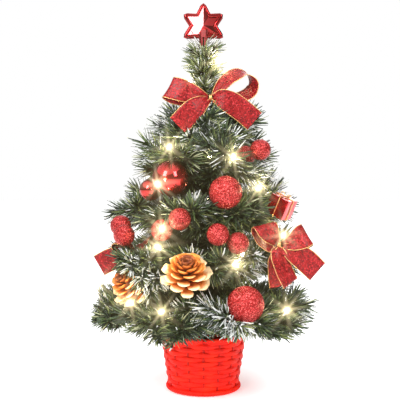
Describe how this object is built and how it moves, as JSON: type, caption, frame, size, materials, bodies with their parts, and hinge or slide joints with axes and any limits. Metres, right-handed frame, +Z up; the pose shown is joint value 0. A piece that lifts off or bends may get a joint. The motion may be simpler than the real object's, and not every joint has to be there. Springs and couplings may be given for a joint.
{
  "type": "artificial tabletop tree",
  "caption": "Artificial tabletop tree in a woven pot, with bendable wire branches, a light string, a lift-off star topper, ribbon bows, balls, berries, cones and a gift pick.",
  "frame": {"origin": "centre of the pot floor's underside, on the surface it stands on", "axes": "+Z up along the trunk, -Y towards the dressed front, +X to the right of a person facing that front"},
  "size_m": [0.2599, 0.2418, 0.4545],
  "materials": {
    "woven_red": "satin",
    "plaster": "matte",
    "core_wire": "satin",
    "trunk_tape": "matte",
    "branch_wire": "satin",
    "lead": "satin",
    "led_bulb": "gloss",
    "plated_red": "polished",
    "glitter_red": "satin",
    "gilt_cone": "satin",
    "ribbon_mesh": "satin",
    "gift_foil": "gloss",
    "case_plastic": "satin",
    "switch_plastic": "satin",
    "cell_jacket": "satin"
  },
  "bodies": {
    "base": {"pot_weave": "woven_red", "pot_braids": "woven_red", "ballast": "plaster", "trunk_core": "core_wire", "trunk_wrap": "trunk_tape", "tier_bindings": "branch_wire", "trunk_lead": "lead", "battery_case": "case_plastic", "battery_cells": "cell_jacket", "bow_top": "ribbon_mesh"},
    "tier_1_front_right": {"tier_1_front_right": "branch_wire", "glitter_ball_lower": "glitter_red", "lights_tier_1_front_right": "led_bulb"},
    "tier_1_right": {"tier_1_right": "branch_wire"},
    "tier_1_back_right": {"tier_1_back_right": "branch_wire"},
    "tier_1_back_left": {"tier_1_back_left": "branch_wire"},
    "tier_1_left": {"tier_1_left": "branch_wire", "lights_tier_1_left": "led_bulb"},
    "tier_1_front_left": {"tier_1_front_left": "branch_wire", "lights_tier_1_front_left": "led_bulb"},
    "tier_2_front": {"tier_2_front": "branch_wire", "pine_cone_front": "gilt_cone", "lights_tier_2_front": "led_bulb"},
    "tier_2_right": {"tier_2_right": "branch_wire", "bow_right": "ribbon_mesh", "lights_tier_2_right": "led_bulb"},
    "tier_2_back_right": {"tier_2_back_right": "branch_wire"},
    "tier_2_back_left": {"tier_2_back_left": "branch_wire"},
    "tier_2_left": {"tier_2_left": "branch_wire", "berries_left": "glitter_red", "pine_cone_left": "gilt_cone", "bow_left": "ribbon_mesh"},
    "tier_3_front_left": {"tier_3_front_left": "branch_wire", "berries_centre_left": "glitter_red", "lights_tier_3_front_left": "led_bulb"},
    "tier_3_front_right": {"tier_3_front_right": "branch_wire", "glitter_ball_upper": "glitter_red", "berries_centre": "glitter_red", "lights_tier_3_front_right": "led_bulb"},
    "tier_3_right": {"tier_3_right": "branch_wire", "gift_box": "gift_foil"},
    "tier_3_back": {"tier_3_back": "branch_wire", "lights_tier_3_back": "led_bulb"},
    "tier_3_back_left": {"tier_3_back_left": "branch_wire"},
    "tier_4_front_left": {"tier_4_front_left": "branch_wire", "plain_ball_large": "plated_red", "plain_ball_small": "plated_red", "lights_tier_4_front_left": "led_bulb"},
    "tier_4_front_right": {"tier_4_front_right": "branch_wire", "berries_upper_right": "glitter_red", "lights_tier_4_front_right": "led_bulb"},
    "tier_4_back_right": {"tier_4_back_right": "branch_wire"},
    "tier_4_back_left": {"tier_4_back_left": "branch_wire"},
    "tier_5_front": {"tier_5_front": "branch_wire"},
    "tier_5_back_right": {"tier_5_back_right": "branch_wire"},
    "tier_5_back_left": {"tier_5_back_left": "branch_wire"},
    "star": {"star_halves": "plated_red", "star_socket": "plated_red"},
    "battery_lid": {"battery_lid": "case_plastic"},
    "battery_switch": {"battery_switch": "switch_plastic"}
  },
  "joints": [
    {"name": "tier_1_front_right_bend", "type": "hinge", "parent": "base", "child": "tier_1_front_right", "pos_m": [0.0031, -0.00537, 0.09], "axis": [-0.866, -0.5, 0], "range_deg": [-15, 12]},
    {"name": "tier_1_right_bend", "type": "hinge", "parent": "base", "child": "tier_1_right", "pos_m": [0.0062, -0.00022, 0.09], "axis": [-0.0349, -0.9994, 0], "range_deg": [-15, 12]},
    {"name": "tier_1_back_right_bend", "type": "hinge", "parent": "base", "child": "tier_1_back_right", "pos_m": [0.00356, 0.00508, 0.09], "axis": [0.8192, -0.5736, 0], "range_deg": [-15, 12]},
    {"name": "tier_1_back_left_bend", "type": "hinge", "parent": "base", "child": "tier_1_back_left", "pos_m": [-0.00356, 0.00508, 0.09], "axis": [0.8192, 0.5736, 0], "range_deg": [-15, 12]},
    {"name": "tier_1_left_bend", "type": "hinge", "parent": "base", "child": "tier_1_left", "pos_m": [-0.0062, 0, 0.09], "axis": [0, 1, 0], "range_deg": [-15, 12]},
    {"name": "tier_1_front_left_bend", "type": "hinge", "parent": "base", "child": "tier_1_front_left", "pos_m": [-0.0031, -0.00537, 0.09], "axis": [-0.866, 0.5, 0], "range_deg": [-15, 8]},
    {"name": "tier_2_front_bend", "type": "hinge", "parent": "base", "child": "tier_2_front", "pos_m": [-0.00022, -0.0062, 0.137], "axis": [-0.9994, 0.0349, 0], "range_deg": [-10, 4]},
    {"name": "tier_2_right_bend", "type": "hinge", "parent": "base", "child": "tier_2_right", "pos_m": [0.00508, -0.00356, 0.137], "axis": [-0.5736, -0.8192, 0], "range_deg": [-10, 8]},
    {"name": "tier_2_back_right_bend", "type": "hinge", "parent": "base", "child": "tier_2_back_right", "pos_m": [0.00508, 0.00356, 0.137], "axis": [0.5736, -0.8192, 0], "range_deg": [-10, 10]},
    {"name": "tier_2_back_left_bend", "type": "hinge", "parent": "base", "child": "tier_2_back_left", "pos_m": [-0.00475, 0.00398, 0.137], "axis": [0.6428, 0.766, 0], "range_deg": [-10, 10]},
    {"name": "tier_2_left_bend", "type": "hinge", "parent": "base", "child": "tier_2_left", "pos_m": [-0.00547, -0.00291, 0.137], "axis": [-0.4695, 0.8829, 0], "range_deg": [-10, 10]},
    {"name": "tier_3_front_left_bend", "type": "hinge", "parent": "base", "child": "tier_3_front_left", "pos_m": [-0.00252, -0.00566, 0.185], "axis": [-0.9135, 0.4067, 0], "range_deg": [-6, 2]},
    {"name": "tier_3_front_right_bend", "type": "hinge", "parent": "base", "child": "tier_3_front_right", "pos_m": [0.00281, -0.00552, 0.185], "axis": [-0.891, -0.454, 0], "range_deg": [-10, 10]},
    {"name": "tier_3_right_bend", "type": "hinge", "parent": "base", "child": "tier_3_right", "pos_m": [0.0062, -0.00022, 0.185], "axis": [-0.0349, -0.9994, 0], "range_deg": [-10, 10]},
    {"name": "tier_3_back_bend", "type": "hinge", "parent": "base", "child": "tier_3_back", "pos_m": [0.00242, 0.00571, 0.185], "axis": [0.9205, -0.3907, 0], "range_deg": [-10, 10]},
    {"name": "tier_3_back_left_bend", "type": "hinge", "parent": "base", "child": "tier_3_back_left", "pos_m": [-0.00599, 0.00161, 0.185], "axis": [0.2588, 0.9659, 0], "range_deg": [-10, 10]},
    {"name": "tier_4_front_left_bend", "type": "hinge", "parent": "base", "child": "tier_4_front_left", "pos_m": [-0.00415, -0.00461, 0.232], "axis": [-0.7431, 0.6691, 0], "range_deg": [-4, 12]},
    {"name": "tier_4_front_right_bend", "type": "hinge", "parent": "base", "child": "tier_4_front_right", "pos_m": [0.00291, -0.00547, 0.232], "axis": [-0.8829, -0.4695, 0], "range_deg": [-10, 12]},
    {"name": "tier_4_back_right_bend", "type": "hinge", "parent": "base", "child": "tier_4_back_right", "pos_m": [0.00438, 0.00438, 0.232], "axis": [0.7071, -0.7071, 0], "range_deg": [-10, 12]},
    {"name": "tier_4_back_left_bend", "type": "hinge", "parent": "base", "child": "tier_4_back_left", "pos_m": [-0.00415, 0.00461, 0.232], "axis": [0.7431, 0.6691, 0], "range_deg": [-10, 12]},
    {"name": "tier_5_front_bend", "type": "hinge", "parent": "base", "child": "tier_5_front", "pos_m": [-0.00086, -0.00614, 0.272], "axis": [-0.9903, 0.1392, 0], "range_deg": [-15, 5]},
    {"name": "tier_5_back_right_bend", "type": "hinge", "parent": "base", "child": "tier_5_back_right", "pos_m": [0.00575, 0.00232, 0.272], "axis": [0.3746, -0.9272, 0], "range_deg": [-15, 12]},
    {"name": "tier_5_back_left_bend", "type": "hinge", "parent": "base", "child": "tier_5_back_left", "pos_m": [-0.00489, 0.00382, 0.272], "axis": [0.6157, 0.788, 0], "range_deg": [-15, 12]},
    {"name": "star_lift", "type": "slide", "parent": "base", "child": "star", "axis": [0, 0, 1], "range_m": [0, 0.03]},
    {"name": "battery_lid_lift", "type": "slide", "parent": "base", "child": "battery_lid", "axis": [0, 0, 1], "range_m": [0, 0.012]},
    {"name": "battery_switch_slide", "type": "slide", "parent": "base", "child": "battery_switch", "axis": [0, 1, 0], "range_m": [0, 0.003]}
  ]
}
